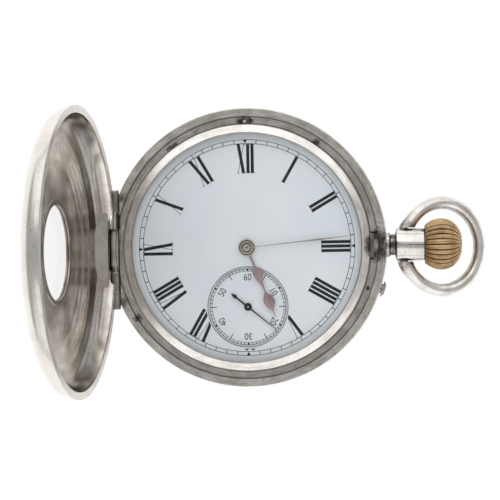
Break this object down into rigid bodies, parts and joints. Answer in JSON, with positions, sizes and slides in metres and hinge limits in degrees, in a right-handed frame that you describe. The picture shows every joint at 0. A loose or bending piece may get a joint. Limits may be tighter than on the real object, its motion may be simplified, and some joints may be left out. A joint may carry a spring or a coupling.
{
  "type": "half hunter pocket watch",
  "caption": "Half hunter pocket watch lying open: hinged lid with a round window, white dial with hands, swinging bow, fluted crown and a working gear train.",
  "frame": {"origin": "middle of the flat on the rear cover, under the hands", "axes": "+X to the pendant at three o'clock, +Y to twelve o'clock, +Z out of the dial"},
  "size_m": [0.0783, 0.051, 0.0596],
  "materials": {
    "silver": "polished silver, lightly worn",
    "crown_gold": "worn gilt",
    "glass": "clear polished glass",
    "spring_steel": "polished tempered steel",
    "steel": "fine grained steel",
    "gilt_brass": "frosted gilt",
    "ruby": "polished ruby",
    "enamel": "glossy white enamel",
    "rose_gold": "polished rose gold",
    "blued_steel": "dark blued steel"
  },
  "bodies": {
    "case": {"case_band": "silver", "pendant": "silver", "case_pins": "silver", "lift_spring": "spring_steel", "click_spring": "spring_steel", "main_plate": "gilt_brass", "three_quarter_plate": "gilt_brass", "plate_pillars": "gilt_brass", "plate_screws": "steel", "movement_screws": "steel", "escape_bridge": "gilt_brass", "hairspring": "spring_steel", "hairspring_stud": "steel", "balance_cock": "gilt_brass", "jewels": "ruby", "dial": "enamel"},
    "front_lid": {"front_lid": "silver", "lid_window_ring": "silver", "lid_window_glass": "glass"},
    "bezel": {"front_bezel": "silver", "crystal": "glass"},
    "rear_cover": {"rear_cover": "silver"},
    "cuvette": {"cuvette": "silver"},
    "bow": {"bow": "silver"},
    "push_collar": {"push_collar": "steel"},
    "crown": {"crown": "crown_gold", "winding_stem": "steel"},
    "catch_spring": {"catch_spring": "spring_steel"},
    "push_piece": {"push_piece": "steel"},
    "setting_lever": {"setting_lever": "steel"},
    "winding_pinion": {"winding_pinion": "steel"},
    "clutch": {"clutch_wheel": "steel"},
    "crown_wheel": {"crown_wheel": "steel"},
    "ratchet": {"ratchet_wheel": "steel", "barrel_arbor": "steel"},
    "click": {"click": "steel"},
    "barrel": {"barrel_drum": "gilt_brass", "barrel_cover": "gilt_brass", "mainspring": "spring_steel"},
    "centre": {"centre_pinion": "steel", "centre_wheel": "gilt_brass"},
    "third": {"third_pinion": "steel", "third_wheel": "gilt_brass"},
    "fourth": {"fourth_pinion": "steel", "fourth_wheel": "gilt_brass", "seconds_hand": "blued_steel"},
    "escape": {"escape_pinion": "steel", "escape_wheel": "steel"},
    "fork": {"pallet_fork": "steel", "pallet_stones": "ruby"},
    "balance": {"balance_wheel": "gilt_brass", "balance_staff": "steel", "impulse_roller": "steel"},
    "regulator": {"regulator": "spring_steel"},
    "minute": {"cannon_pinion": "steel", "minute_hand": "rose_gold"},
    "minute_wheel": {"minute_wheel": "gilt_brass"},
    "hour": {"hour_wheel": "gilt_brass", "hour_hand": "rose_gold"},
    "setting_wheel": {"setting_wheel": "gilt_brass"}
  },
  "joints": [
    {"name": "lid_hinge", "type": "hinge", "parent": "case", "child": "front_lid", "pos_m": [-0.0241, 0, 0.0106], "axis": [0, -1, 0], "range_deg": [-97.7, 0], "stiffness_Nm_per_rad": 0.004, "springref_deg": 28.65},
    {"name": "bezel_lift", "type": "slide", "parent": "case", "child": "bezel", "axis": [0, 0, 1], "range_m": [0, 0.006]},
    {"name": "rear_cover_hinge", "type": "hinge", "parent": "case", "child": "rear_cover", "pos_m": [-0.0241, 0, 0.0044], "axis": [0, 1, 0], "range_deg": [0, 100]},
    {"name": "cuvette_hinge", "type": "hinge", "parent": "case", "child": "cuvette", "pos_m": [-0.0241, 0, 0.0044], "axis": [0, 1, 0], "range_deg": [0, 85]},
    {"name": "bow_pivot", "type": "hinge", "parent": "case", "child": "bow", "pos_m": [0.0286, 0, 0.007], "axis": [0, -1, 0], "range_deg": [-65, 112]},
    {"name": "crown_push", "type": "slide", "parent": "case", "child": "push_collar", "axis": [-1, 0, 0], "range_m": [0, 0.0005], "stiffness_N_per_m": 2000, "springref_m": -0.0005},
    {"name": "crown_turn", "type": "hinge", "parent": "push_collar", "child": "crown", "pos_m": [0.03245, 0, 0.007], "axis": [1, 0, 0], "continuous": true},
    {"name": "catch_flex", "type": "hinge", "parent": "case", "child": "catch_spring", "pos_m": [0.01125, 0.01949, 0.007], "axis": [0, 0, -1], "range_deg": [0, 1.6]},
    {"name": "push_piece_press", "type": "slide", "parent": "case", "child": "push_piece", "axis": [-0.95, 0.3123, 0], "range_m": [0, 0.00028], "stiffness_N_per_m": 500, "springref_m": -0.0003},
    {"name": "setting_lever_turn", "type": "hinge", "parent": "case", "child": "setting_lever", "pos_m": [0.014, -0.009, 0.0073], "axis": [0, 0, 1], "range_deg": [0, 5]},
    {"name": "winding_pinion_turn", "type": "hinge", "parent": "case", "child": "winding_pinion", "pos_m": [0.01538, 0, 0.007], "axis": [1, 0, 0], "continuous": true},
    {"name": "clutch_slide", "type": "slide", "parent": "winding_pinion", "child": "clutch", "axis": [-1, 0, 0], "range_m": [0, 0.0005]},
    {"name": "crown_wheel_turn", "type": "hinge", "parent": "case", "child": "crown_wheel", "pos_m": [0.01184, 0, 0.00395], "axis": [0, 0, 1], "continuous": true},
    {"name": "ratchet_turn", "type": "hinge", "parent": "case", "child": "ratchet", "pos_m": [0.00578, 0.00826, 0.00395], "axis": [0, 0, 1], "continuous": true},
    {"name": "click_turn", "type": "hinge", "parent": "case", "child": "click", "pos_m": [0.0017, 0.01594, 0.00395], "axis": [0, 0, 1], "range_deg": [0, 8], "stiffness_Nm_per_rad": 0.00001, "springref_deg": -11.46},
    {"name": "fourth_turn", "type": "hinge", "parent": "case", "child": "fourth", "pos_m": [0, -0.0108, 0.0064], "axis": [0, 0, -1], "continuous": true},
    {"name": "third_turn", "type": "hinge", "parent": "case", "child": "third", "pos_m": [0.00495, -0.00617, 0.0073], "axis": [0, 0, -1], "continuous": true},
    {"name": "centre_turn", "type": "hinge", "parent": "case", "child": "centre", "pos_m": [0, 0, 0.00765], "axis": [0, 0, -1], "continuous": true},
    {"name": "barrel_turn", "type": "hinge", "parent": "case", "child": "barrel", "pos_m": [0.00578, 0.00826, 0.00525], "axis": [0, 0, -1], "continuous": true},
    {"name": "escape_turn", "type": "hinge", "parent": "case", "child": "escape", "pos_m": [-0.00556, -0.01229, 0.00715], "axis": [0, 0, -1], "continuous": true},
    {"name": "minute_turn", "type": "hinge", "parent": "case", "child": "minute", "pos_m": [0, 0, 0.0104], "axis": [0, 0, -1], "continuous": true},
    {"name": "minute_wheel_turn", "type": "hinge", "parent": "case", "child": "minute_wheel", "pos_m": [0.0048, 0, 0.0096], "axis": [0, 0, -1], "continuous": true},
    {"name": "hour_turn", "type": "hinge", "parent": "case", "child": "hour", "pos_m": [0, 0, 0.0104], "axis": [0, 0, -1], "continuous": true},
    {"name": "setting_wheel_turn", "type": "hinge", "parent": "case", "child": "setting_wheel", "pos_m": [0.01056, 0, 0.0096], "axis": [0, 0, -1], "continuous": true},
    {"name": "fork_swing", "type": "hinge", "parent": "case", "child": "fork", "pos_m": [-0.00765, -0.00961, 0.00715], "axis": [0, 0, 1], "range_deg": [-5, 5]},
    {"name": "balance_swing", "type": "hinge", "parent": "case", "child": "balance", "pos_m": [-0.01049, -0.00599, 0.0043], "axis": [0, 0, 1], "range_deg": [-270, 270], "stiffness_Nm_per_rad": 0.0000016},
    {"name": "regulator_turn", "type": "hinge", "parent": "case", "child": "regulator", "pos_m": [-0.01049, -0.00599, 0.003], "axis": [0, 0, 1], "range_deg": [-20, 20]}
  ],
  "couplings": [
    {"joint": "cuvette_hinge", "follows": "rear_cover_hinge", "ratio": 0.85},
    {"joint": "catch_flex", "follows": "crown_push", "rad_per_m": 51.32},
    {"joint": "winding_pinion_turn", "follows": "crown_turn", "ratio": 1},
    {"joint": "crown_wheel_turn", "follows": "crown_turn", "ratio": 0.66667},
    {"joint": "ratchet_turn", "follows": "crown_turn", "ratio": -0.4},
    {"joint": "setting_lever_turn", "follows": "push_piece_press", "rad_per_m": 239.2},
    {"joint": "clutch_slide", "follows": "push_piece_press", "ratio": 1.758},
    {"joint": "third_turn", "follows": "fourth_turn", "ratio": -0.13333},
    {"joint": "centre_turn", "follows": "fourth_turn", "ratio": 0.016667},
    {"joint": "barrel_turn", "follows": "fourth_turn", "ratio": -0.0027778},
    {"joint": "escape_turn", "follows": "fourth_turn", "ratio": -8},
    {"joint": "minute_wheel_turn", "follows": "minute_turn", "ratio": -0.33333},
    {"joint": "hour_turn", "follows": "minute_turn", "ratio": 0.083333},
    {"joint": "setting_wheel_turn", "follows": "minute_turn", "ratio": 0.55556}
  ]
}
